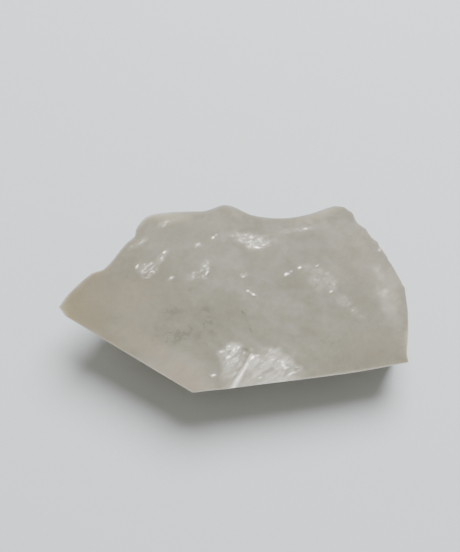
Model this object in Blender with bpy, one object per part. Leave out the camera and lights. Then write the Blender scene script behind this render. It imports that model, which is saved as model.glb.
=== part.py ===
# A quartz crystal: the pointed end of a six-sided prism, split lengthwise along a shallow
# shell-like fracture and broken off short at the blunt end.
# It lies on one natural prism face. +Z is up, the point is towards -X, the split face is on top.
# The origin is the bottom centre of the bounding box. Lengths are metres.

import math

import bmesh
import bpy
from mathutils import Matrix, Vector
from mathutils.geometry import interpolate_bezier

MM = 0.001

# The crystal's own geometry.
PRISM_TURN = math.radians(60.0)
POINT_TILT = math.radians(38.2)
AXIS_SWING = math.radians(8.15)

# The split face on top: height at the origin, fall along X, rise along Y.
SPLIT_HEIGHT = 10.5 * MM
SPLIT_FALL_X = -0.034
SPLIT_RISE_Y = 0.041
SPLIT_CROWN = 1.4 * MM
CROWN_RUN = 11.0 * MM
ROLL_POWER = 6

# Shallow shell-like hollows and swells of the split face: centre x, centre y, reach, height.
HOLLOWS = (
    (11.0 * MM, -3.0 * MM, 7.0 * MM, -0.50 * MM),
    (-9.0 * MM, -7.0 * MM, 6.0 * MM, -0.35 * MM),
    (1.0 * MM, 9.5 * MM, 5.5 * MM, -0.45 * MM),
    (20.0 * MM, 9.0 * MM, 6.0 * MM, 0.40 * MM),
    (-15.0 * MM, 4.0 * MM, 5.0 * MM, 0.35 * MM),
)

# Corners of the sharp rim of the split face.
TIP = Vector((-29.9, -2.7, 11.5)) * MM
TIP_CHIP = Vector((-28.7, -4.3, 11.3)) * MM
FRONT = Vector((-6.8, -17.5, 10.0)) * MM
FRONT_END = Vector((29.3, -11.8, 9.0)) * MM
REAR_END = Vector((29.8, 1.5, 10.5)) * MM
REAR_HUMP = Vector((20.1, 17.3, 11.9)) * MM
SHOULDER = Vector((-17.6, 10.7, 12.6)) * MM

# The long front edge swells a little between its corners.
FRONT_SWELL = ((14.1, -14.6, 9.4), (22.1, -13.3, 9.2))

# Crests and dips of the chipped sides of the rim, between those corners.
END_CHIPS = ((29.2, -10.2, 9.3), (29.9, -4.4, 9.9))
CORNER_CHIPS = ((27.6, 6.3, 11.0), (26.4, 8.7, 11.2), (24.5, 12.1, 11.5), (22.3, 14.1, 11.7), (21.4, 16.4, 11.8))
REAR_CHIPS = (
    (18.4, 17.5, 11.9),
    (13.8, 15.5, 12.0),
    (9.2, 14.8, 12.0),
    (3.4, 15.2, 12.1),
    (-1.4, 17.3, 12.5),
    (-5.2, 16.0, 12.5),
    (-11.5, 15.5, 12.7),
    (-15.9, 14.1, 12.8),
    (-17.3, 12.1, 12.7),
)
POINT_CHIPS = ((-19.2, 8.6, 12.5), (-22.4, 4.1, 12.2), (-24.9, 3.1, 12.1), (-28.5, -0.8, 11.7))

# The broken end below the rim: where its two facets meet the resting plane, and their lean.
END_BASE_X = 29.1 * MM
END_LEAN = math.radians(2.5)
CORNER_FACING = math.radians(33.5)
CORNER_BASE = 24.5 * MM
CORNER_LEAN = math.radians(6.0)
REAR_FACE_DISTANCE = 8.6 * MM

# How quickly the chips of the rim fade out down the sides.
CHIP_FADE = 2.0

# Rings from the middle of the split face to the rim, and from the rim to the base.
TOP_RINGS = (0.18, 0.38, 0.56, 0.72, 0.84, 0.92, 0.97)
SIDE_RINGS = (0.06, 0.16, 0.32, 0.54, 0.78)

QUARTZ_COLOUR = (0.49, 0.45, 0.38, 1.0)
QUARTZ_ROUGHNESS = 0.32


def clear_scene():
    for item in list(bpy.data.objects):
        bpy.data.objects.remove(item, do_unlink=True)


def crystal_faces():
    # Prism normals stand 60 degrees apart about the long axis, starting from the resting face.
    # Each face of the point leans from its prism face towards the axis by the same angle.
    axis = Vector((-math.cos(AXIS_SWING), -math.sin(AXIS_SWING), 0.0))
    down = Vector((0.0, 0.0, -1.0))
    front = Matrix.Rotation(PRISM_TURN, 3, axis) @ down
    rear = Matrix.Rotation(-PRISM_TURN, 3, axis) @ down
    lean = lambda normal: normal * math.cos(POINT_TILT) + axis * math.sin(POINT_TILT)
    return {
        "base": (down, 0.0),
        "front_prism": (front, front.dot(FRONT)),
        "rear_prism": (rear, REAR_FACE_DISTANCE),
        "front_point": (lean(front), lean(front).dot(FRONT)),
        "under_point": (lean(down), lean(down).dot(TIP)),
        "rear_point": (lean(rear), lean(rear).dot(TIP)),
    }


def broken_faces():
    end = Vector((math.cos(END_LEAN), 0.0, -math.sin(END_LEAN)))
    facing = Vector((math.cos(CORNER_FACING), math.sin(CORNER_FACING), 0.0))
    corner = facing * math.cos(CORNER_LEAN) + Vector((0.0, 0.0, -math.sin(CORNER_LEAN)))
    return {
        "end": (end, END_BASE_X * math.cos(END_LEAN)),
        "corner": (corner, CORNER_BASE * math.cos(CORNER_LEAN)),
    }


def meeting_point(faces, first, second):
    # The point on the resting plane where two side faces meet.
    rows = [faces[name][0] for name in (first, second, "base")]
    distances = Vector([faces[name][1] for name in (first, second, "base")])
    return Matrix(rows).inverted() @ distances


def smooth_through(points, count):
    # A smooth curve through every point: cubic spans whose tangents follow the neighbours.
    out = []
    spans = len(points) - 1
    for i in range(spans):
        before = points[max(i - 1, 0)]
        after = points[min(i + 2, spans)]
        reach = (points[i + 1] - points[i]).length / 3.0
        tangent_in = (points[i + 1] - before).normalized() * reach
        tangent_out = (after - points[i]).normalized() * reach
        steps = max(1, round(count / spans))
        span = interpolate_bezier(
            points[i], points[i] + tangent_in, points[i + 1] - tangent_out, points[i + 1], steps + 1
        )
        out.extend(span[:-1])
    return out


def side(start, chips, stop, foot_start, foot_stop, count):
    # One side of the stone as (rim, straight guide, foot) triples, the last corner left out.
    keys = [start] + [Vector(chip) * MM for chip in chips] + [stop]
    rim = smooth_through(keys, count)
    triples = []
    for i, point in enumerate(rim):
        along = i / len(rim)
        triples.append((point, start.lerp(stop, along), foot_start.lerp(foot_stop, along)))
    return triples


def edge_distance(x, y, start, stop):
    # Distance of a plan position inward from a straight sharp edge.
    run = (stop - start).to_2d().normalized()
    return max(0.0, run.x * (y - start.y) - run.y * (x - start.x))


def split_height(x, y):
    # A tilted plane with a low crown and shallow hollows, all dying out at the two sharp edges.
    inward = 1.0
    for start, stop in ((TIP_CHIP, FRONT), (FRONT, FRONT_END)):
        inward *= 1.0 - math.exp(-edge_distance(x, y, start, stop) / CROWN_RUN)
    relief = SPLIT_CROWN
    for centre_x, centre_y, reach, height in HOLLOWS:
        away = ((x - centre_x) ** 2 + (y - centre_y) ** 2) / reach**2
        relief += height * math.exp(-away)
    return SPLIT_HEIGHT + SPLIT_FALL_X * x + SPLIT_RISE_Y * y + relief * inward


def split_point(rim, out):
    # A position on the split face, a fraction of the way from the middle to the rim.
    x = rim.x * out
    y = rim.y * out
    meet = rim.z - split_height(rim.x, rim.y)
    return Vector((x, y, split_height(x, y) + meet * out**ROLL_POWER))


def flank_point(rim, guide, foot, down):
    # A position on the flank: a straight face, with the rim's chips fading towards the foot.
    return guide.lerp(foot, down) + (rim - guide) * (1.0 - down) ** CHIP_FADE


def build_crystal():
    faces = {**crystal_faces(), **broken_faces()}
    foot_front = meeting_point(faces, "front_prism", "front_point")
    foot_tip = meeting_point(faces, "front_point", "under_point")
    foot_rear_tip = meeting_point(faces, "under_point", "rear_point")
    foot_shoulder = meeting_point(faces, "rear_point", "rear_prism")
    foot_rear = meeting_point(faces, "rear_prism", "corner")
    foot_corner = meeting_point(faces, "corner", "end")
    foot_end = meeting_point(faces, "end", "front_prism")
    columns = []
    columns += side(TIP, (), TIP_CHIP, foot_rear_tip, foot_tip, 4)
    columns += side(TIP_CHIP, (), FRONT, foot_tip, foot_front, 9)
    columns += side(FRONT, FRONT_SWELL, FRONT_END, foot_front, foot_end, 15)
    columns += side(FRONT_END, END_CHIPS, REAR_END, foot_end, foot_corner, 6)
    columns += side(REAR_END, CORNER_CHIPS, REAR_HUMP, foot_corner, foot_rear, 12)
    columns += side(REAR_HUMP, REAR_CHIPS, SHOULDER, foot_rear, foot_shoulder, 30)
    columns += side(SHOULDER, POINT_CHIPS, TIP, foot_shoulder, foot_rear_tip, 15)

    mesh = bmesh.new()
    middle = mesh.verts.new(Vector((0.0, 0.0, split_height(0.0, 0.0))))
    rings = []
    for out in TOP_RINGS:
        rings.append([mesh.verts.new(split_point(rim, out)) for rim, guide, foot in columns])
    rings.append([mesh.verts.new(rim) for rim, guide, foot in columns])
    for down in SIDE_RINGS:
        rings.append([mesh.verts.new(flank_point(*column, down)) for column in columns])
    rings.append([mesh.verts.new((foot.x, foot.y, 0.0)) for rim, guide, foot in columns])

    count = len(columns)
    for i in range(count):
        mesh.faces.new((middle, rings[0][i], rings[0][(i + 1) % count]))
    for upper, lower in zip(rings, rings[1:]):
        for i in range(count):
            j = (i + 1) % count
            mesh.faces.new((upper[i], lower[i], lower[j], upper[j]))
    mesh.faces.new(rings[-1][::-1])
    bmesh.ops.recalc_face_normals(mesh, faces=mesh.faces)
    bmesh.ops.triangulate(mesh, faces=[face for face in mesh.faces if len(face.verts) == 4])

    data = bpy.data.meshes.new("quartz_crystal")
    mesh.to_mesh(data)
    mesh.free()
    crystal = bpy.data.objects.new("quartz_crystal", data)
    bpy.context.scene.collection.objects.link(crystal)
    return crystal


def quartz_material():
    material = bpy.data.materials.new("quartz")
    material.use_nodes = True
    surface = material.node_tree.nodes["Principled BSDF"]
    surface.inputs["Base Color"].default_value = QUARTZ_COLOUR
    surface.inputs["Roughness"].default_value = QUARTZ_ROUGHNESS
    surface.inputs["Metallic"].default_value = 0.0
    return material


clear_scene()
crystal = build_crystal()
crystal.data.materials.append(quartz_material())
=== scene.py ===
import math

import bpy
import numpy as np
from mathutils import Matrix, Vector


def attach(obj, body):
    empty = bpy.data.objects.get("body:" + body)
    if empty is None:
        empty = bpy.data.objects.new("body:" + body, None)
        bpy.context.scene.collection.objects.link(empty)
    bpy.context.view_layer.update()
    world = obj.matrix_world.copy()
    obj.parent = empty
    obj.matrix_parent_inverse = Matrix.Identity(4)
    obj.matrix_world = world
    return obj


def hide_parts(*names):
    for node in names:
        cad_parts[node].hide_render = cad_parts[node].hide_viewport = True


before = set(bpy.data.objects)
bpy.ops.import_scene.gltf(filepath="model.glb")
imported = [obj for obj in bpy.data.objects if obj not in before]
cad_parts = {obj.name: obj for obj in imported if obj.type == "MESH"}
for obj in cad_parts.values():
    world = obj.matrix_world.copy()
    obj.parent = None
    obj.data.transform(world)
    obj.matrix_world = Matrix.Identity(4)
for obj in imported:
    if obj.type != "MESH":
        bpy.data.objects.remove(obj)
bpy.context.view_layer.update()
print("stage: frame loaded")

mm = 0.001


def smooth(low, high, value):
    # smooth step: 0 below low, 1 above high, 3t^2 - 2t^3 between
    t = np.clip((value - low) / (high - low), 0.0, 1.0)
    return t * t * (3.0 - 2.0 * t)


def cellValue(ix, iy, iz, seed):
    # a repeatable number from 0 to 1 for each whole-number cell: fractional part of a large sine
    mixed = ix * 127.1 + iy * 311.7 + iz * 74.7 + seed * 53.3
    return np.modf(np.abs(np.sin(mixed) * 43758.5453))[0]


def grain(points, size, seed):
    # value noise from -1 to 1 in cells of the given size: the values at a cell's eight corners,
    # each weighted by 6t^5 - 15t^4 + 10t^3 of the place t between them
    q = points / size
    cell = np.floor(q)
    f = q - cell
    f = f * f * f * (f * (f * 6.0 - 15.0) + 10.0)
    total = 0.0
    for dx in (0, 1):
        for dy in (0, 1):
            for dz in (0, 1):
                weight = (
                    (f[..., 0] if dx else 1.0 - f[..., 0])
                    * (f[..., 1] if dy else 1.0 - f[..., 1])
                    * (f[..., 2] if dz else 1.0 - f[..., 2])
                )
                value = cellValue(cell[..., 0] + dx, cell[..., 1] + dy, cell[..., 2] + dz, seed)
                total = total + weight * value
    return total * 2.0 - 1.0


def layeredGrain(points, size, layers, seed):
    # each layer has half the size and half the height of the one before, and its own place
    total = 0.0
    for k in range(layers):
        total = total + grain(points + 17.3 * k, size / 2**k, seed + k) / 2**k
    return total


crystal = {  # the stone's form, in mm from the middle of the resting face
    "prismTurn": math.radians(60.0),  # angle between neighbouring prism normals
    "pointTilt": math.radians(38.2),  # lean of a face of the point from its prism face
    "axisSwing": math.radians(8.15),  # of the long axis from X
    "rearFaceDistance": 8.6,
    "endBaseX": 29.1,  # the broken end's two facets: where they meet the floor, and their lean
    "endLean": math.radians(2.5),
    "cornerFacing": math.radians(33.5),
    "cornerBase": 24.5,
    "cornerLean": math.radians(6.0),
    "splitHeight": 10.5,  # the split face over the origin, its slopes and its crown
    "splitFallX": -0.034,
    "splitRiseY": 0.041,
    "crown": 1.4,
    "crownRun": 11.0,
    "rollPower": 6,  # how late the split face bends to meet the rim
    "hollows": [  # of the split face: centre x, centre y, reach, height
        (11.0, -3.0, 7.0, -0.50),
        (-9.0, -7.0, 6.0, -0.35),
        (1.0, 9.5, 5.5, -0.45),
        (20.0, 9.0, 6.0, 0.40),
        (-15.0, 4.0, 5.0, 0.35),
    ],
    "corners": {  # of the rim of the split face
        "tip": (-29.9, -2.7, 11.5),
        "tipChip": (-28.7, -4.3, 11.3),
        "front": (-6.8, -17.5, 10.0),
        "frontEnd": (29.3, -11.8, 9.0),
        "rearEnd": (29.8, 1.5, 10.5),
        "rearHump": (20.1, 17.3, 11.9),
        "shoulder": (-17.6, 10.7, 12.6),
    },
    "swell": [(14.1, -14.6, 9.4), (22.1, -13.3, 9.2)],  # of the long front edge
    "chips": {  # crests and dips of the broken sides, from the named corner to the next
        "frontEnd": [(29.2, -10.2, 9.3), (29.9, -4.4, 9.9)],
        "rearEnd": [
            (27.6, 6.3, 11.0), (26.4, 8.7, 11.2), (24.5, 12.1, 11.5), (22.3, 14.1, 11.7),
            (21.4, 16.4, 11.8),
        ],
        "rearHump": [
            (18.4, 17.5, 11.9), (13.6, 15.7, 12.0), (8.8, 14.8, 12.0), (3.4, 15.4, 12.1),
            (-1.3, 17.4, 12.5), (-5.2, 16.1, 12.5), (-11.5, 15.7, 12.7), (-15.5, 14.8, 12.7),
            (-17.3, 12.5, 12.7),
        ],
        "shoulder": [
            (-19.2, 9.0, 12.5), (-22.5, 4.4, 12.2), (-24.8, 3.4, 12.1), (-28.5, -0.4, 11.7),
        ],
    },
    "nibbleSize": 1.9,  # of the small chips along the rim, and their depth on each broken side
    "nibbles": {"frontEnd": 0.07, "rearEnd": 0.42, "rearHump": 0.13, "shoulder": 0.18},
    "cornerShare": 0.06,  # of a side's length, where small chips fade out towards a corner
    "chipFade": 2.0,  # how quickly the rim's chips die out down the flanks
    "scars": [  # shell-like scars of the broken sides: centre x, y, z, reach, depth
        (14.5, 15.5, 8.6, 6.4, 1.50),
        (7.6, 14.4, 7.4, 5.0, 1.20),
        (1.0, 14.6, 8.8, 4.8, 1.15),
        (-4.6, 14.8, 7.2, 4.4, 1.00),
        (-10.8, 14.2, 8.8, 5.4, 1.40),
        (-15.6, 12.2, 8.4, 3.6, 0.80),
        (20.4, 15.2, 7.0, 4.4, 1.20),
        (23.4, 11.6, 8.4, 4.6, 1.20),
        (25.4, 8.0, 4.6, 5.0, 1.30),
        (28.4, 3.4, 7.0, 4.6, 1.10),
        (29.3, -2.6, 5.2, 4.8, 1.20),
        (29.3, -7.6, 7.4, 3.8, 0.90),
        (28.6, 0.8, 2.0, 3.2, 0.80),
        (-18.6, 8.0, 9.0, 3.6, 0.80),
        (-23.0, 4.0, 9.6, 3.0, 0.55),
    ],
    "naturalFrom": 0.62,  # how far down a broken flank its natural face begins, as a share
    "naturalWaver": 0.16,
    "naturalBorder": 0.12,  # width of the change between the two, as a share
    "naturalUpTo": 21.0,  # beyond this x the flank is broken right down
    "columns": 620,  # grid counts of the skin
    "topRows": 108,
    "sideRows": 38,
    "baseRows": 10,
    "topCrowding": 0.8,  # rows stand at share ** crowding, closer together near the rim
    "sideCrowding": 1.15,
    "sharpAngle": math.radians(35.0),  # edges bent more than this stay sharp
}


def turned(vector, axis, angle):
    # turn about an axis: v cos a + (axis x v) sin a + axis (axis . v)(1 - cos a)
    return (
        vector * math.cos(angle)
        + np.cross(axis, vector) * math.sin(angle)
        + axis * (axis @ vector) * (1.0 - math.cos(angle))
    )


def crystalFaces():
    # prism normals stand 60 degrees apart about the long axis; each point face leans from its
    # prism face towards the axis by 38.2 degrees; the broken end has two leaning facets
    c = crystal
    axis = np.array([-math.cos(c["axisSwing"]), -math.sin(c["axisSwing"]), 0.0])
    down = np.array([0.0, 0.0, -1.0])
    front = turned(down, axis, c["prismTurn"])
    rear = turned(down, axis, -c["prismTurn"])
    lean = lambda normal: normal * math.cos(c["pointTilt"]) + axis * math.sin(c["pointTilt"])
    end = np.array([math.cos(c["endLean"]), 0.0, -math.sin(c["endLean"])])
    facing = np.array([math.cos(c["cornerFacing"]), math.sin(c["cornerFacing"]), 0.0])
    corner = facing * math.cos(c["cornerLean"]) - np.array([0.0, 0.0, math.sin(c["cornerLean"])])
    frontCorner = np.array(c["corners"]["front"])
    tip = np.array(c["corners"]["tip"])
    return {
        "base": (down, 0.0),
        "frontPrism": (front, front @ frontCorner),
        "rearPrism": (rear, c["rearFaceDistance"]),
        "frontPoint": (lean(front), lean(front) @ frontCorner),
        "underPoint": (lean(down), lean(down) @ tip),
        "rearPoint": (lean(rear), lean(rear) @ tip),
        "end": (end, c["endBaseX"] * math.cos(c["endLean"])),
        "corner": (corner, c["cornerBase"] * math.cos(c["cornerLean"])),
    }, axis


def meetingPoint(faces, first, second):
    # where two side faces meet the resting plane: the point whose dot products with the three
    # normals are the three distances
    chosen = [faces[name] for name in (first, second, "base")]
    return np.linalg.solve(np.array([n for n, d in chosen]), np.array([d for n, d in chosen]))


def smoothThrough(keys, count):
    # cubic Bezier spans through the keys; each tangent points along the line between neighbours
    keys = np.array(keys, float)
    before = np.vstack([keys[:1], keys[:-1]])
    after = np.vstack([keys[1:], keys[-1:]])
    tangent = after - before
    tangent /= np.linalg.norm(tangent, axis=1)[:, None]
    length = np.linalg.norm(np.diff(keys, axis=0), axis=1)
    along = np.linspace(0.0, length.sum(), count + 1)[:-1]
    ends = np.concatenate([[0.0], np.cumsum(length)])
    span = np.clip(np.searchsorted(ends, along, side="right") - 1, 0, len(length) - 1)
    t = ((along - ends[span]) / length[span])[:, None]
    reach = (length[span] / 3.0)[:, None]
    a, d = keys[span], keys[span + 1]
    b, c = a + tangent[span] * reach, d - tangent[span + 1] * reach
    return a * (1 - t) ** 3 + 3 * b * t * (1 - t) ** 2 + 3 * c * t * t * (1 - t) + d * t**3


def edgeDistance(x, y, start, stop):
    # distance inward from a straight sharp edge, seen from above
    a, b = np.array(crystal["corners"][start])[:2], np.array(crystal["corners"][stop])[:2]
    run = (b - a) / np.linalg.norm(b - a)
    return np.maximum(0.0, run[0] * (y - a[1]) - run[1] * (x - a[0]))


def splitHeight(x, y):
    # a tilted plane, and a low crown with shallow hollows exp(-(distance / reach)^2), which both
    # die out at the two sharp edges by 1 - exp(-distance / run)
    c = crystal
    inward = 1.0
    for start, stop in (("tipChip", "front"), ("front", "frontEnd")):
        inward = inward * (1.0 - np.exp(-edgeDistance(x, y, start, stop) / c["crownRun"]))
    relief = c["crown"]
    for cx, cy, reach, height in c["hollows"]:
        relief = relief + height * np.exp(-((x - cx) ** 2 + (y - cy) ** 2) / reach**2)
    return c["splitHeight"] + c["splitFallX"] * x + c["splitRiseY"] * y + relief * inward


def rimColumns(faces):
    # every column of the skin as a rim point, a guide point on the straight rim and a foot point;
    # a broken side's rim has small chips bitten inwards out of it and lies on the split face
    foot = {
        "front": meetingPoint(faces, "frontPrism", "frontPoint"),
        "tipChip": meetingPoint(faces, "frontPoint", "underPoint"),
        "tip": meetingPoint(faces, "underPoint", "rearPoint"),
        "shoulder": meetingPoint(faces, "rearPoint", "rearPrism"),
        "rearHump": meetingPoint(faces, "rearPrism", "corner"),
        "rearEnd": meetingPoint(faces, "corner", "end"),
        "frontEnd": meetingPoint(faces, "end", "frontPrism"),
    }
    sides = [  # first corner, last corner, share of the columns
        ("tip", "tipChip", 0.03),
        ("tipChip", "front", 0.16),
        ("front", "frontEnd", 0.22),
        ("frontEnd", "rearEnd", 0.09),
        ("rearEnd", "rearHump", 0.12),
        ("rearHump", "shoulder", 0.24),
        ("shoulder", "tip", 0.14),
    ]
    near = crystal["cornerShare"]
    rim, guide, feet, broken, nibble, settle = [], [], [], [], [], []
    for start, stop, share in sides:
        count = round(share * crystal["columns"])
        chips = crystal["chips"].get(start, [])
        bends = crystal["swell"] if start == "front" else chips
        a, b = np.array(crystal["corners"][start]), np.array(crystal["corners"][stop])
        along = (np.arange(count) / count)[:, None]
        rim.append(smoothThrough([a, *bends, b], count))
        guide.append(a + (b - a) * along)
        feet.append(foot[start] + (foot[stop] - foot[start]) * along)
        broken.append(np.full(count, 1.0 if chips else 0.0))
        taper = smooth(0.0, near, along[:, 0]) * (1.0 - smooth(1.0 - near, 1.0, along[:, 0]))
        nibble.append(crystal["nibbles"].get(start, 0.0) * taper)
        settle.append(taper * broken[-1])
    parts = (rim, guide, feet, broken, nibble, settle)
    rim, guide, feet, broken, nibble, settle = [np.concatenate(part) for part in parts]
    nibble = np.maximum(0.0, layeredGrain(rim, crystal["nibbleSize"], 3, 101)) * nibble
    length = np.linalg.norm(rim[:, :2], axis=1)
    rim[:, :2] *= (1.0 - nibble / length)[:, None]
    rim[:, 2] += (splitHeight(rim[:, 0], rim[:, 1]) - rim[:, 2]) * settle
    return rim, guide, feet, broken


inside = {  # what shows under and in the split face, in mm and degrees
    # pale healed cracks: centre x, y, half length, half width, turn, milk, painted glint
    "veils": [
        (-0.3, -10.8, 2.0, 1.5, 15, 0.85, 0.90),
        (0.1, -12.6, 2.1, 2.2, 40, 0.78, 0.30),
        (-0.7, -14.6, 1.6, 2.2, -10, 0.50, 0.05),
        (4.6, -12.3, 2.9, 2.3, 10, 0.82, 0.25),
        (7.7, -12.5, 2.6, 2.0, -10, 0.68, 0.35),
        (5.6, -14.8, 5.4, 1.8, 8, 0.68, 0.10),
        (9.8, -13.5, 1.8, 1.1, 10, 0.50, 0.30),
        (6.6, -10.6, 1.9, 1.0, 10, 0.58, 0.15),
        (-8.5, -13.8, 6.4, 2.8, -28, 0.10, 0.00),
        (27.2, -0.5, 2.0, 5.5, 4, 0.16, 0.05),
        (-15.2, 4.1, 1.8, 1.5, -12, 0.28, 0.85),
        (-12.6, 6.6, 1.5, 0.7, 55, 0.25, 0.85),
        (-10.9, 2.6, 0.9, 0.5, 30, 0.30, 0.50),
        (-12.2, 13.5, 1.9, 0.7, 30, 0.16, 0.45),
        (-16.9, 9.2, 2.0, 0.8, 32, 0.16, 0.45),
        (-6.5, 9.2, 1.0, 0.5, 30, 0.12, 0.50),
        (-4.9, 4.3, 0.9, 1.7, -15, 0.18, 0.50),
        (-6.8, 3.1, 1.3, 0.8, 10, 0.22, 0.45),
        (2.4, 10.7, 2.8, 1.2, -14, 0.45, 0.65),
        (4.6, 9.8, 2.4, 1.3, 8, 0.52, 0.70),
        (1.9, 3.5, 0.8, 0.5, 20, 0.25, 0.45),
        (13.9, 4.9, 3.2, 1.2, -8, 0.18, 0.12),
        (16.4, 2.8, 2.3, 1.5, -52, 0.22, 0.22),
        (14.4, 2.2, 2.2, 1.1, -42, 0.18, 0.14),
        (20.0, -2.1, 2.9, 1.1, -40, 0.16, 0.14),
        (25.9, 0.7, 1.2, 1.1, 0, 0.50, 0.10),
        (25.6, 4.1, 0.9, 1.8, 10, 0.22, 0.10),
        (12.6, 12.7, 1.6, 0.5, 8, 0.12, 0.40),
        (8.6, 11.9, 3.4, 0.5, 16, 0.12, 0.10),
    ],
    # painted glints, bright flecks where the cracks send light back: centre x, y, half length,
    # half width, turn, strength
    "glintFlecks": [
        (-1.8, -10.4, 0.90, 0.34, 15, 1.0), (-0.9, -11.3, 0.75, 0.32, 48, 1.0),
        (-0.1, -10.1, 0.75, 0.34, 60, 1.0), (0.8, -9.8, 0.60, 0.28, 40, 1.0),
        (0.4, -11.8, 0.60, 0.30, 30, 0.9), (-0.9, -9.6, 0.50, 0.24, 20, 0.9),
        (-0.5, -10.8, 0.50, 0.22, 35, 0.9), (1.6, -10.8, 0.60, 0.22, 55, 0.6),
        (-0.2, -12.8, 0.40, 0.20, 20, 0.45), (3.0, -11.6, 0.95, 0.42, 52, 1.0),
        (4.0, -11.1, 0.50, 0.30, 30, 0.9), (4.7, -12.0, 0.30, 0.18, 40, 0.6),
        (6.1, -10.1, 0.55, 0.18, 50, 0.6), (6.4, -11.8, 0.40, 0.20, 30, 0.5),
        (7.3, -12.0, 0.30, 0.20, 30, 0.5), (8.2, -12.8, 0.62, 0.95, 5, 1.0),
        (8.8, -13.1, 0.60, 0.18, 10, 0.6), (9.3, -14.2, 1.10, 0.20, 28, 0.8),
        (10.4, -13.0, 0.60, 0.16, -20, 0.45), (4.3, -14.8, 0.50, 0.30, 20, 0.6),
        (-3.5, -14.6, 0.50, 0.30, 25, 1.0), (-3.9, -14.4, 0.50, 0.12, -25, 0.4),
        (-16.9, 4.7, 0.50, 0.26, 70, 1.0), (-15.2, 4.7, 0.60, 0.16, 25, 0.8),
        (-14.7, 4.0, 0.60, 0.14, 30, 0.7), (-15.3, 3.6, 0.55, 0.14, 25, 0.6),
        (-15.0, 2.6, 0.90, 0.13, 5, 0.5), (-12.3, 7.4, 0.70, 0.20, 48, 0.9),
        (-12.7, 6.2, 0.45, 0.16, 60, 0.6), (-10.8, 2.7, 0.65, 0.26, 30, 0.9),
        (-6.4, 9.2, 0.55, 0.20, 35, 0.5), (-3.7, 10.8, 0.50, 0.26, 35, 1.0),
        (-3.2, 11.3, 0.40, 0.12, 40, 0.5), (-4.7, 3.8, 0.75, 0.18, 62, 0.7),
        (-5.0, 5.1, 0.35, 0.15, 30, 0.5), (-12.0, 13.7, 0.80, 0.12, 30, 0.4),
        (0.8, 11.4, 0.70, 0.13, 20, 0.6), (2.3, 10.0, 0.90, 0.16, -12, 0.8),
        (4.3, 8.9, 1.10, 0.16, -6, 0.9), (5.9, 9.7, 0.60, 0.15, 50, 0.7),
        (3.9, 10.1, 0.60, 0.14, 35, 0.6), (5.2, 9.4, 0.45, 0.16, 10, 0.9),
        (3.2, -0.1, 0.80, 0.24, -38, 0.9), (2.5, 0.4, 0.45, 0.22, -20, 0.6),
        (1.7, 3.2, 0.50, 0.18, 25, 0.4), (9.2, 3.7, 0.60, 0.36, 25, 1.0),
        (10.0, 4.3, 0.30, 0.16, 35, 0.7), (11.5, 5.0, 0.60, 0.28, 25, 1.0),
        (14.6, 5.4, 0.50, 0.16, 25, 0.9), (16.7, 0.5, 0.40, 0.20, 30, 0.8),
        (17.4, 1.9, 0.30, 0.14, 40, 0.5), (14.2, 2.7, 0.45, 0.12, -30, 0.5),
        (20.4, -2.9, 0.50, 0.12, 15, 0.4), (24.8, -5.4, 0.28, 0.16, 30, 0.8),
        (24.7, -6.0, 0.40, 0.10, 0, 0.6), (25.7, 8.5, 0.50, 0.30, 30, 0.7),
        (12.9, 12.7, 0.75, 0.12, 5, 0.6), (26.2, 0.8, 0.60, 0.30, 30, 0.35),
    ],
    # broad pale zones, partly a milkier body and partly painted light, as at the brighter right
    # end: centre x, y, half length, half width, turn, amount
    "paleZones": [
        (-8.5, -14.0, 6.4, 3.0, -28, 1.30),
        (2.0, -15.5, 9.0, 2.6, 6, 0.50),
        (-17.0, -8.5, 7.0, 1.6, -31, 0.35),
        (26.5, 2.0, 3.6, 7.0, 8, 0.85),
        (20.0, 10.5, 6.0, 5.0, -20, 0.30),
        (21.0, -9.0, 8.0, 3.0, 8, 0.30),
        (10.0, -10.0, 5.0, 3.0, 0, 0.35),
        (27.5, -9.5, 2.5, 2.2, 0, 0.30),
    ],
    # faint rosy patches: centre x, y, half length, half width, turn, amount
    "blushes": [
        (-17.5, -0.5, 9.5, 6.0, -20, 0.40),
        (-8.0, -14.5, 6.5, 3.0, -30, 0.60),
        (-15.0, -9.0, 7.0, 2.8, -31, 0.60),
        (27.0, 0.0, 2.5, 5.0, 5, 0.35),
        (21.5, 7.0, 7.0, 7.0, 0, 0.22),
        (24.0, -9.0, 6.0, 3.5, 8, 0.25),
    ],
    # faint dark specks: centre x, y, half length, half width, turn, amount
    "specks": [
        (-4.4, -4.9, 1.8, 3.4, 20, 0.85),
        (-9.4, -7.7, 5.2, 1.7, 15, 0.80),
        (-10.4, -3.9, 3.2, 1.6, 10, 0.55),
        (-6.9, 0.4, 1.6, 0.8, -20, 0.50),
        (14.5, -7.9, 6.0, 1.5, -12, 0.40),
        (10.5, -7.5, 3.0, 0.7, -10, 0.45),
        (2.5, 7.0, 3.4, 1.2, 20, 0.30),
        (-9.0, 12.0, 2.6, 1.0, 25, 0.25),
    ],
    "line": {"start": (1.6, -3.4), "stop": (2.9, -6.9), "width": 0.20, "amount": 1.80},  # dark
    "crack": {"start": (2.7, -10.8), "stop": (-1.3, -17.3), "width": 0.44},
    "crackBright": 0.85,  # how bright the painted glint on the crack's band is
    "warmSpread": {"full": -29.5, "gone": -18.5, "slant": 0.35, "waver": 1.6},  # warmer towards the point, along x
    "frontPaling": 0.012,  # how much paler the front of the split face is, per mm
    "rimShade": {"width": 1.3, "amount": 0.80},  # painted shade: a duller, darker band along the broken part of the rim
    "flankCloud": 1.0,  # cloudiness and pale seams of the flanks
    "flankSeam": 0.42,
    "seamWidth": 0.13,
    "brokenPolish": 0.65,  # share of the flanks' gloss that broken surface has
}


def ovalReach(points, x, y, halfLength, halfWidth, turn):
    # 0 at the middle of a turned oval, 1 on its outline
    a = math.radians(turn)
    dx, dy = points[..., 0] - x, points[..., 1] - y
    along = (dx * math.cos(a) + dy * math.sin(a)) / halfLength
    across = (dy * math.cos(a) - dx * math.sin(a)) / halfWidth
    return np.sqrt(along**2 + across**2)


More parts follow.
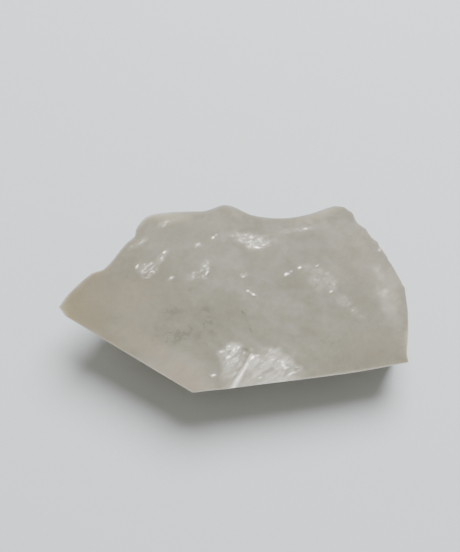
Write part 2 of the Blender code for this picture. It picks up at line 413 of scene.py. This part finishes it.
def ovals(points, listed, ragged, core, edge):
    # the strongest of the listed ovals, full inside core and gone at edge, its outline made ragged
    total = np.zeros(points.shape[:-1])
    for x, y, halfLength, halfWidth, turn, amount in listed:
        reach = ovalReach(points, x, y, halfLength, halfWidth, turn) + ragged
        total = np.maximum(total, amount * (1.0 - smooth(core, edge, reach)))
    return total


def veilMaps(points):
    # milk: soft ragged ovals, a little mottled; glint: the same ovals, where painted bright
    # threads of glint show
    ragged = layeredGrain(points, 1.3, 3, 31) * 0.30
    mottle = 0.86 + 0.14 * layeredGrain(points, 0.8, 2, 35)
    milky = [veil[:6] for veil in inside["veils"]]
    glinting = [veil[:5] + veil[6:] for veil in inside["veils"]]
    milk = ovals(points, milky, ragged, 0.20, 1.45) * mottle
    return milk, ovals(points, glinting, ragged, 0.40, 1.15)


def glintFleckMap(points):
    # painted glints: small bright flecks, crisp, with a slightly ragged outline
    return ovals(points, inside["glintFlecks"], layeredGrain(points, 0.5, 2, 37) * 0.45, 0.05, 1.00)


def lineReach(points, line):
    # distance across a straight line and beyond its ends, both in its half widths, and the share
    # of the way along it
    a, b = np.array(line["start"]), np.array(line["stop"])
    run = b - a
    length = np.linalg.norm(run)
    rel = points[..., :2] - a
    along = (rel @ run) / length
    across = (rel[..., 0] * run[1] - rel[..., 1] * run[0]) / length
    beyond = np.maximum(0.0, np.maximum(-along, along - length))
    return across / line["width"], beyond / line["width"], along / length


faceGrain = {  # fine relief of the faces, in mm
    "swellSize": 7.0,  # of the split face
    "swellHeight": 0.11,
    "fineSize": 2.6,
    "fineHeight": 0.016,
    "blow": (34.0, 26.0),  # where the blow fell that split the stone, and the faint arcs round it
    "arcWaver": 1.6,
    "arcSpacing": 3.1,
    "arcHeight": 0.010,
    "arcPatchSize": 9.0,
    "rippleTurn": math.radians(38.0),  # the ripples in the veils run up to the right
    "rippleWaver": 0.55,
    "rippleSize": 0.95,
    "rippleDepth": 0.05,
    "crackStep": 0.16,
    "veilSink": 0.03,
    "glintFleckRise": 0.05,
    "stepDepth": 0.055,  # of the fine steps across the natural faces
    "stepStretch": 0.09,
    "steps": [(0.9, 1.0, 71), (0.35, 0.4, 73), (3.5, 1.6, 75)],  # size, share, seed
    "scarRipple": 0.05,
    "scarRippleSize": 1.5,
    "roughSize": 3.2,  # of broken surface
    "roughHeight": 0.13,
}


def splitRelief(points):
    # relief of the split face: slow swells, finer ones, faint arcs cos(distance from the blow),
    # rippled floors in the veils, small steps at the painted glint flecks and the step at the
    # crack
    g = faceGrain
    flat = points * np.array([1.0, 1.0, 0.0])
    slow = grain(flat, g["swellSize"], 3) * g["swellHeight"]
    fine = layeredGrain(flat, g["fineSize"], 2, 9) * g["fineHeight"]
    blow = np.sqrt((flat[..., 0] - g["blow"][0]) ** 2 + (flat[..., 1] - g["blow"][1]) ** 2)
    blow = blow + grain(flat, 7.0, 41) * g["arcWaver"]
    patches = smooth(-0.2, 0.7, grain(flat, g["arcPatchSize"], 47))
    arcs = np.cos(blow * 2.0 * math.pi / g["arcSpacing"]) * g["arcHeight"] * patches
    milk, glint = veilMaps(flat)
    across = flat[..., 1] * math.cos(g["rippleTurn"]) - flat[..., 0] * math.sin(g["rippleTurn"])
    across = across + grain(flat, 2.1, 61) * g["rippleWaver"]
    ripple = np.sin(across * 2.0 * math.pi / g["rippleSize"]) * g["rippleDepth"] * glint
    across, beyond, along = lineReach(flat, inside["crack"])
    step = -g["crackStep"] * smooth(-1.0, 0.2, across) * (1.0 - smooth(0.2, 5.0, across))
    step = step * (1.0 - smooth(0.0, 1.5, beyond))
    veils = ripple - g["veilSink"] * milk
    return slow + fine + arcs + veils + g["glintFleckRise"] * glintFleckMap(flat) + step


def flankRelief(points, axis, natural):
    # natural faces carry fine steps across the long axis; broken ones carry shell-like scars,
    # bowls of depth (1 - (distance / reach)^2) with sine ripples round the blow above each, and a
    # fine grain
    g = faceGrain
    turn = np.array([-axis[1], axis[0], 0.0])
    stretch = g["stepStretch"]
    own = np.stack([points @ axis, points @ turn * stretch, points[..., 2] * stretch], axis=-1)
    steps = sum(grain(own, size, seed) * share for size, share, seed in g["steps"])
    steps = steps * g["stepDepth"]
    scars = np.zeros(points.shape[:-1])
    rings = np.zeros(points.shape[:-1])
    for x, y, z, reach, depth in crystal["scars"]:
        away = np.sqrt(((points - np.array([x, y, z])) ** 2).sum(-1))
        blow = np.sqrt(((points - np.array([x * 1.05 + 1.5, y, z + reach])) ** 2).sum(-1))
        bowl = depth * (1.0 - (away / reach) ** 2)
        wave = np.sin(blow * 2.0 * math.pi / g["scarRippleSize"] + x)
        rings = np.where(bowl > scars, wave * smooth(0.3, 1.0, blow / reach), rings)
        scars = np.maximum(scars, bowl)
    rough = layeredGrain(points, g["roughSize"], 4, 81) * g["roughHeight"]
    return steps * natural + (rough - scars + rings * g["scarRipple"]) * (1.0 - natural)


def gridNormals(grid):
    # cross product of the steps along the columns and down the rows
    down = np.gradient(grid, axis=0)
    sideways = np.roll(grid, -1, axis=1) - np.roll(grid, 1, axis=1)
    normal = np.cross(down, sideways)
    length = np.linalg.norm(normal, axis=-1, keepdims=True)
    return normal / np.maximum(length, 1e-9)


def crystalSkin():
    # rows run from the middle of the split face over the rim and down the flanks to the middle
    # of the resting face; columns run round the rim. On top a point is rim * share, at the split
    # face's height; on a flank it is guide + (foot - guide) * down + (rim - guide)(1 - down)^fade
    c = crystal
    level = np.array([1.0, 1.0, 0.0])
    faces, axis = crystalFaces()
    rim, guide, foot, broken = rimColumns(faces)
    top = (np.arange(1, c["topRows"] + 1) / c["topRows"]) ** c["topCrowding"]
    x = rim[None, :, 0] * top[:, None]
    y = rim[None, :, 1] * top[:, None]
    meet = rim[:, 2] - splitHeight(rim[:, 0], rim[:, 1])
    z = splitHeight(x, y) + meet[None, :] * top[:, None] ** c["rollPower"]
    topGrid = np.stack([x, y, z], axis=-1)
    topGrid[..., 2] += splitRelief(topGrid)

    down = (np.arange(1, c["sideRows"] + 1) / c["sideRows"])[:, None, None] ** c["sideCrowding"]
    sideGrid = guide + (foot - guide) * down + (rim - guide) * (1.0 - down) ** c["chipFade"]
    sideGrid[..., 2] += splitRelief(rim)[None, :] * (1.0 - down[..., 0]) ** 3
    withRim = np.concatenate([topGrid[-1:], sideGrid])
    outward = gridNormals(withRim)[1:]
    low = c["naturalFrom"] + c["naturalWaver"] * grain(sideGrid * level, 7.0, 85)
    natural = smooth(low, low + c["naturalBorder"], down[..., 0])
    natural = natural * (sideGrid[..., 0] < c["naturalUpTo"])
    natural = 1.0 - broken[None, :] * (1.0 - natural)
    fade = smooth(0.0, 0.10, down[..., 0]) * (1.0 - smooth(0.90, 1.0, down[..., 0]))
    sideGrid = sideGrid + outward * (flankRelief(sideGrid, axis, natural) * fade)[..., None]
    sideGrid[-1, :, 2] = 0.0

    middle = foot.mean(axis=0) * level
    inward = (np.arange(1, c["baseRows"]) / c["baseRows"])[:, None, None]
    baseGrid = sideGrid[-1] + (middle - sideGrid[-1]) * inward
    grid = np.concatenate([topGrid, sideGrid, baseGrid])
    naturalGrid = np.concatenate([np.zeros(z.shape), natural, np.ones(baseGrid.shape[:2])])
    crownPoint = np.array([[0.0, 0.0, splitHeight(0.0, 0.0)]])
    crownPoint[0, 2] += splitRelief(crownPoint)[0]
    return grid, crownPoint[0], middle, naturalGrid


def skinMesh(name, grid, firstPole, lastPole):
    # joins neighbouring grid points with four-sided faces and closes both ends with fans
    rows, cols = grid.shape[:2]
    points = np.vstack([grid.reshape(-1, 3), firstPole[None], lastPole[None]]) * mm
    i = np.arange(rows - 1)[:, None] * cols
    j = np.arange(cols)[None, :]
    k = (j + 1) % cols
    quads = np.stack([i + j, i + cols + j, i + cols + k, i + k], axis=-1).reshape(-1, 4)
    j, k = j[0], k[0]
    first = np.stack([np.full(cols, rows * cols), j, k], axis=-1)
    lastRow = (rows - 1) * cols
    last = np.stack([np.full(cols, rows * cols + 1), lastRow + k, lastRow + j], axis=-1)
    corner = np.concatenate([quads.ravel(), first.ravel(), last.ravel()])
    sizes = np.concatenate([np.full(len(quads), 4), np.full(2 * cols, 3)])
    starts = np.concatenate([[0], np.cumsum(sizes)[:-1]])
    mesh = bpy.data.meshes.new(name)
    mesh.vertices.add(len(points))
    mesh.vertices.foreach_set("co", points.ravel())
    mesh.loops.add(len(corner))
    mesh.loops.foreach_set("vertex_index", corner.astype(np.int32))
    mesh.polygons.add(len(sizes))
    mesh.polygons.foreach_set("loop_start", starts.astype(np.int32))
    mesh.update(calc_edges=True)
    mesh.validate()
    mesh.shade_smooth()
    mesh.set_sharp_from_angle(angle=crystal["sharpAngle"])
    piece = bpy.data.objects.new(name, mesh)
    bpy.context.scene.collection.objects.link(piece)
    return piece


quartzLook = {
    "clearTone": (0.247, 0.223, 0.158, 1.0),
    # milkyAndLitTone: milky body, and painted light in the pale zones
    "milkyAndLitTone": (0.330, 0.302, 0.232, 1.0),
    "pointWarmTone": (0.290, 0.246, 0.150, 1.0),
    "blushTone": (0.365, 0.283, 0.198, 1.0),
    # rimShadeTone: painted shade along the broken rim
    "rimShadeTone": (0.170, 0.158, 0.118, 1.0),
    "veilTone": (0.860, 0.815, 0.700, 1.0),
    # glintTone: painted highlight where the cracks glint
    "glintTone": (0.950, 0.915, 0.830, 1.0),
    # speckAndShadeTone: dark specks, and painted shade beside the crack
    "speckAndShadeTone": (0.165, 0.148, 0.098, 1.0),
    "cloudSize": 9.0,  # sizes of the patterns, in mm
    "streakSize": 2.4,
    "threadSize": 0.85,
    "threadTurn": math.radians(-38.0),
    "threadStretch": 0.38,
    "mottleSize": 1.0,
    "frostSize": 0.30,
    # how a pattern is spread out: from low and high in it, to low and high out of it
    "cloudSpan": (0.36, 0.66, 0.0, 0.5),
    "mottleSpan": (0.32, 0.68, -0.18, 0.18),
    "threadSpan": (0.0, 0.07, 1.0, 0.0),
    "threadGaps": (0.44, 0.56, 0.15, 1.0),
    "milkSpan": (0.34, 0.62, 0.45, 1.0),
    "speckAndShadeSpan": (0.46, 0.58, 0.10, 1.0),
    "roughSpan": (0.3, 0.7, -0.05, 0.07),
    "glowSpan": (0.0, 1.0, 1.0, 0.35),
    "threadShine": 0.65,  # how bright the painted glints of threads and flecks are
    "glintFleckShine": 0.85,
    "roughness": 0.50,
    "naturalSmoother": 0.14,  # less rough on natural faces and on glints
    "glintSmoother": 0.24,
    "glintMetal": 0.62,  # stands in for light sent back from inside the cracks
    "gloss": 0.24,
    "polish": 0.65,  # clear gloss of the flanks
    "polishRoughness": 0.14,
    "seeThrough": 0.28,
    "ior": 1.54,
    "glow": (1.0, 0.90, 0.74),
    "glowDepth": 2.4,
    "waveDepth": 0.03,  # fine relief, in mm
    "threadDepth": 0.05,
    "frostDepth": 0.008,
}


def quartzFinish():
    # a cloudy body that glows from inside, with the painted maps laid over it
    look = quartzLook
    material = bpy.data.materials.new("cloudyQuartz")
    material.use_nodes = True
    tree = material.node_tree
    surface = tree.nodes["Principled BSDF"]
    place = tree.nodes.new("ShaderNodeTexCoord").outputs["Object"]

    def wire(target, value):
        # links a node's output, or sets a plain value
        if hasattr(value, "is_linked"):
            tree.links.new(value, target)
        else:
            target.default_value = value

    def cloud(size, detail, twist=0.0, where=place):
        # noise whose lumps have the given size in mm
        made = tree.nodes.new("ShaderNodeTexNoise")
        made.inputs["Scale"].default_value = 1.0 / (size * mm)
        made.inputs["Detail"].default_value = detail
        made.inputs["Distortion"].default_value = twist
        tree.links.new(where, made.inputs["Vector"])
        return made.outputs["Fac"]

    def stretched(turn, along):
        # object coordinates turned about Z and drawn out along the new X
        spin = tree.nodes.new("ShaderNodeMapping")
        spin.inputs["Rotation"].default_value = (0.0, 0.0, turn)
        tree.links.new(place, spin.inputs["Vector"])
        made = tree.nodes.new("ShaderNodeMapping")
        made.inputs["Scale"].default_value = (along, 1.0, 1.0)
        tree.links.new(spin.outputs["Vector"], made.inputs["Vector"])
        return made.outputs["Vector"]

    def painted(name):
        # a map stored on the mesh's points
        made = tree.nodes.new("ShaderNodeAttribute")
        made.attribute_name = name
        return made.outputs["Fac"]

    def span(value, low, high, lowOut, highOut):
        # smooth step from lowOut at low to highOut at high
        made = tree.nodes.new("ShaderNodeMapRange")
        made.interpolation_type = "SMOOTHSTEP"
        wire(made.inputs["Value"], value)
        wire(made.inputs["From Min"], low)
        wire(made.inputs["From Max"], high)
        wire(made.inputs["To Min"], lowOut)
        wire(made.inputs["To Max"], highOut)
        return made.outputs["Result"]

    def sums(kind, first, second, clamp=False):
        # one step of arithmetic on two values
        made = tree.nodes.new("ShaderNodeMath")
        made.operation = kind
        made.use_clamp = clamp
        wire(made.inputs[0], first)
        wire(made.inputs[1], second)
        return made.outputs[0]

    def blend(share, first, second):
        # first colour at share 0, second at share 1
        made = tree.nodes.new("ShaderNodeMix")
        made.data_type = "RGBA"
        wire(made.inputs[0], share)
        wire(made.inputs[6], first)
        wire(made.inputs[7], second)
        return made.outputs[2]

    def relief(height, depth, below=None):
        # bumps of the given depth in mm, on top of the ones below
        made = tree.nodes.new("ShaderNodeBump")
        made.inputs["Distance"].default_value = depth * mm
        wire(made.inputs["Height"], height)
        if below is not None:
            wire(made.inputs["Normal"], below)
        return made.outputs["Normal"]

    # patterns
    slowCloud = cloud(look["cloudSize"], 2.0, 0.6)
    streak = cloud(look["streakSize"], 3.0, 0.25)
    soft = cloud(look["streakSize"], 1.0)
    drawn = stretched(look["threadTurn"], look["threadStretch"])
    thread = cloud(look["threadSize"], 2.0, 0.35, drawn)
    frost = cloud(look["frostSize"], 2.0)
    mottle = cloud(look["mottleSize"], 3.0, 0.4)

    # shares: how milky the body is, with painted light in the pale zones, then how much veil and
    # how much painted glint shows
    milkyAndLit = sums("ADD", sums("MULTIPLY", slowCloud, 0.7), sums("MULTIPLY", streak, 0.3))
    milkyAndLit = span(milkyAndLit, *look["cloudSpan"])
    milkyAndLit = sums("ADD", milkyAndLit, span(mottle, *look["mottleSpan"]))
    milkyAndLit = sums("ADD", milkyAndLit, painted("hazeAndLight"), True)
    ridge = sums("ABSOLUTE", sums("SUBTRACT", thread, 0.5), 0.0)
    threads = sums("MULTIPLY", span(ridge, *look["threadSpan"]), span(mottle, *look["threadGaps"]))
    milkShare = sums("MULTIPLY", painted("milk"), span(thread, *look["milkSpan"]), True)
    glint = painted("glint")
    threadShare = sums("MULTIPLY", sums("MULTIPLY", glint, threads), look["threadShine"])
    glintFleckShare = sums("MULTIPLY", painted("glintFleck"), look["glintFleckShine"])
    glintShare = sums("MAXIMUM", threadShare, glintFleckShare)
    speckAndShadeShare = sums("MULTIPLY", painted("speckAndShade"), span(mottle, *look["speckAndShadeSpan"]))

    # colour, from the body outwards
    # milky body, with painted light where the pale zones lie
    tone = blend(milkyAndLit, look["clearTone"], look["milkyAndLitTone"])
    tone = blend(painted("pointWarmth"), tone, look["pointWarmTone"])
    tone = blend(painted("blush"), tone, look["blushTone"])
    # painted shade along the broken rim
    tone = blend(painted("rimShade"), tone, look["rimShadeTone"])
    # dark specks, and painted shade beside the crack
    tone = blend(speckAndShadeShare, tone, look["speckAndShadeTone"])
    tone = blend(milkShare, tone, look["veilTone"])
    # painted highlights where threads and flecks glint
    tone = blend(glintShare, tone, look["glintTone"])
    wire(surface.inputs["Base Color"], tone)

    rough = sums("ADD", span(streak, *look["roughSpan"]), look["roughness"])
    rough = sums("SUBTRACT", rough, sums("MULTIPLY", painted("natural"), look["naturalSmoother"]))
    rough = sums("SUBTRACT", rough, sums("MULTIPLY", glintShare, look["glintSmoother"]), True)
    wire(surface.inputs["Roughness"], rough)
    wire(surface.inputs["Metallic"], sums("MULTIPLY", glintShare, look["glintMetal"]))

    waved = relief(soft, look["waveDepth"])
    threaded = relief(sums("MULTIPLY", threads, glint), look["threadDepth"], waved)
    wire(surface.inputs["Normal"], relief(frost, look["frostDepth"], threaded))

    # the body glows from inside; veils, glints and the painted rim shade less so
    shown = sums("MAXIMUM", sums("MAXIMUM", milkShare, glintShare), painted("rimShade"))
    wire(surface.inputs["Subsurface Weight"], span(shown, *look["glowSpan"]))
    surface.inputs["Subsurface Scale"].default_value = look["glowDepth"] * mm
    surface.inputs["Subsurface Radius"].default_value = look["glow"]
    surface.inputs["Transmission Weight"].default_value = look["seeThrough"]
    surface.inputs["IOR"].default_value = look["ior"]
    surface.inputs["Specular IOR Level"].default_value = look["gloss"]
    wire(surface.inputs["Coat Weight"], sums("MULTIPLY", painted("polish"), look["polish"]))
    surface.inputs["Coat Roughness"].default_value = look["polishRoughness"]
    return material


def paintedMaps(piece, maps):
    # stores one number a point for each named map
    for name, values in maps.items():
        layer = piece.data.attributes.new(name, "FLOAT", "POINT")
        layer.data.foreach_set("value", values.astype(np.float32))


def crackMaps(points):
    # a pale band exp(-3 (distance / width)^2) on one side of the crack, wider towards the sharp
    # edge, how much of it is a bright painted glint, and a dark slit of painted shade,
    # exp(-14 distance^2), on the other side
    across, beyond, along = lineReach(points, inside["crack"])
    across = across + grain(points, 1.4, 89) * 0.35
    widening = 0.7 + 1.3 * np.clip(along, 0.0, 1.0)
    within = 1.0 - smooth(0.0, 1.0, beyond)
    band = np.exp(-(((across + 0.75 * widening) / widening) ** 2) * 3.0) * within
    bright = inside["crackBright"] * band * (1.0 - 0.6 * smooth(0.2, 0.9, along))
    crackShade = np.exp(-((across - 0.35) ** 2) * 14.0) * within * (1.0 - smooth(0.6, 1.0, along))
    return band, bright, crackShade


def darkLine(points):
    # exp(-distance^2) across a short line, which wavers
    across, beyond, along = lineReach(points, inside["line"])
    thin = np.exp(-((across + grain(points, 0.8, 99)) ** 2)) * (1.0 - smooth(0.0, 2.0, beyond))
    return inside["line"]["amount"] * thin


def pointWarming(points):
    # a warmer tone, full at the tip and gone a fifth of the way in, its border slanting and
    # wavering
    warmSpread = inside["warmSpread"]
    place = points[:, 0] + warmSpread["slant"] * points[:, 1] + grain(points, 3.5, 91) * warmSpread["waver"]
    return 1.0 - smooth(warmSpread["full"], warmSpread["gone"], place)


def flankSeams(points):
    # pale seams where a slow noise passes through 0, in patches
    plane = np.abs(grain(points, 7.0, 107) + 0.12 * grain(points, 2.2, 109))
    patches = smooth(0.05, 0.5, grain(points, 8.0, 111))
    return (1.0 - smooth(0.0, inside["seamWidth"], plane)) * patches * inside["flankSeam"]


def rimShadeMap(grid):
    # painted shade exp(-(distance to the rim / width)^2), along the broken part of the rim only
    rows = np.arange(grid.shape[0])[:, None] / crystal["topRows"]
    reach = np.linalg.norm(grid[crystal["topRows"] - 1, :, :2], axis=1)[None, :]
    inward = reach * np.abs(1.0 - rows ** crystal["topCrowding"])
    rear = smooth(2.0, 8.0, grid[..., 1] + 0.5 * (grid[..., 0] - 10.0))
    return np.exp(-((inward / inside["rimShade"]["width"]) ** 2)) * rear * inside["rimShade"]["amount"]


def stoneMaps(grid, crownPoint, basePoint, naturalGrid):
    # one number a point for each map: veils, painted glints and flecks, specks and painted crack
    # shade belong to the split face, seams and polish to the flanks, painted rim shade to the rim,
    # and haze with painted light, the warmer point and rosy patches reach through the stone
    points = np.vstack([grid.reshape(-1, 3), crownPoint[None], basePoint[None]])
    onTop = np.zeros(grid.shape[:2])
    onTop[: crystal["topRows"]] = 1.0
    onTop = np.append(onTop.ravel(), [1.0, 0.0])
    flank = 1.0 - onTop
    natural = np.append(naturalGrid.ravel(), [0.0, 1.0])

    milk, glint = veilMaps(points)
    band, bright, crackShade = crackMaps(points)
    milk = np.maximum(milk, band) * (1.0 - 0.8 * crackShade)
    glintFleck = np.maximum(glintFleckMap(points), bright) * (1.0 - crackShade)

    hazeAndLight = ovals(points, inside["paleZones"], grain(points, 3.0, 97) * 0.25, 0.1, 1.3)
    hazeAndLight = hazeAndLight - inside["frontPaling"] * points[:, 1]
    cloudy = smooth(-0.1, 0.9, layeredGrain(points, 6.0, 3, 103)) * inside["flankCloud"]
    speckAndShade = ovals(points, inside["specks"], grain(points, 1.5, 95) * 0.3, 0.3, 1.1)
    # the crack's painted shade darkens here too
    speckAndShade = np.maximum(np.maximum(speckAndShade, darkLine(points)), crackShade * 0.6)
    dull = inside["brokenPolish"]
    return {
        "milk": milk * onTop + flankSeams(points) * flank,
        "glint": glint * onTop,
        "glintFleck": glintFleck * onTop,
        "speckAndShade": speckAndShade * onTop,
        "hazeAndLight": hazeAndLight + (cloudy - hazeAndLight) * flank,
        "pointWarmth": pointWarming(points),
        "blush": ovals(points, inside["blushes"], grain(points, 3.0, 93) * 0.2, 0.0, 1.2),
        "rimShade": np.append(rimShadeMap(grid).ravel(), [0.0, 0.0]),
        "natural": natural,
        "polish": flank * (dull + (1.0 - dull) * natural),
    }


grid, crownPoint, basePoint, naturalGrid = crystalSkin()
stone = skinMesh("quartzCrystal", grid, crownPoint, basePoint)
paintedMaps(stone, stoneMaps(grid, crownPoint, basePoint, naturalGrid))
stone.data.materials.append(quartzFinish())
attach(stone, "root")
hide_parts("quartz_crystal")
print("stage: crystal made,", len(stone.data.polygons), "faces")


studio = {  # in metres, where a line says nothing else
    "floorColour": (0.620, 0.640, 0.660, 1.0),
    "floorSize": 3.0,
    "floorRoughness": 0.85,
    "floorGloss": 0.2,
    "skyColour": (0.88, 0.875, 0.785, 1.0),
    "skyStrength": 0.50,
    "lampColour": (0.95, 0.975, 1.0),
    "lampSize": 0.44,
    "lampPower": 8.0,
    "lampPlace": (0.11, 0.29, 0.49),
    "cameraPlace": (-0.68, -59.44, 129.44),  # in mm
    "cameraTilt": math.radians(28.0),  # from straight down
    "lens": 50.0,  # in mm, as is the sensor's width
    "sensor": 36.0,
    "nearest": 0.005,
}


def plainFloor():
    # a flat pale square under the stone
    look = studio
    half = look["floorSize"] / 2.0
    corners = [(-half, -half, 0), (half, -half, 0), (half, half, 0), (-half, half, 0)]
    mesh = bpy.data.meshes.new("floor")
    mesh.from_pydata(corners, [], [(0, 1, 2, 3)])
    floor = bpy.data.objects.new("floor", mesh)
    bpy.context.scene.collection.objects.link(floor)
    material = bpy.data.materials.new("paleFloor")
    material.use_nodes = True
    surface = material.node_tree.nodes["Principled BSDF"]
    surface.inputs["Base Color"].default_value = look["floorColour"]
    surface.inputs["Roughness"].default_value = look["floorRoughness"]
    surface.inputs["Specular IOR Level"].default_value = look["floorGloss"]
    mesh.materials.append(material)


def softLight():
    # even light from all round and one large round lamp behind, aimed at the stone
    look = studio
    world = bpy.data.worlds.new("room")
    world.use_nodes = True
    sky = world.node_tree.nodes["Background"]
    sky.inputs["Color"].default_value = look["skyColour"]
    sky.inputs["Strength"].default_value = look["skyStrength"]
    bpy.context.scene.world = world
    lamp = bpy.data.lights.new("softbox", "AREA")
    lamp.shape = "DISK"
    lamp.size = look["lampSize"]
    lamp.energy = look["lampPower"]
    lamp.color = look["lampColour"]
    box = bpy.data.objects.new("softbox", lamp)
    box.location = look["lampPlace"]
    box.rotation_euler = (-Vector(look["lampPlace"])).to_track_quat("-Z", "Y").to_euler()
    bpy.context.scene.collection.objects.link(box)


def viewpoint():
    # looks down at the stone from the front
    look = studio
    lens = bpy.data.cameras.new("camera")
    lens.lens = look["lens"]
    lens.sensor_width = look["sensor"]
    lens.clip_start = look["nearest"]
    camera = bpy.data.objects.new("camera", lens)
    camera.location = Vector(look["cameraPlace"]) * mm
    camera.rotation_euler = (look["cameraTilt"], 0.0, 0.0)
    bpy.context.scene.collection.objects.link(camera)
    bpy.context.scene.camera = camera


plainFloor()
softLight()
viewpoint()
print("stage: floor, light and camera made")
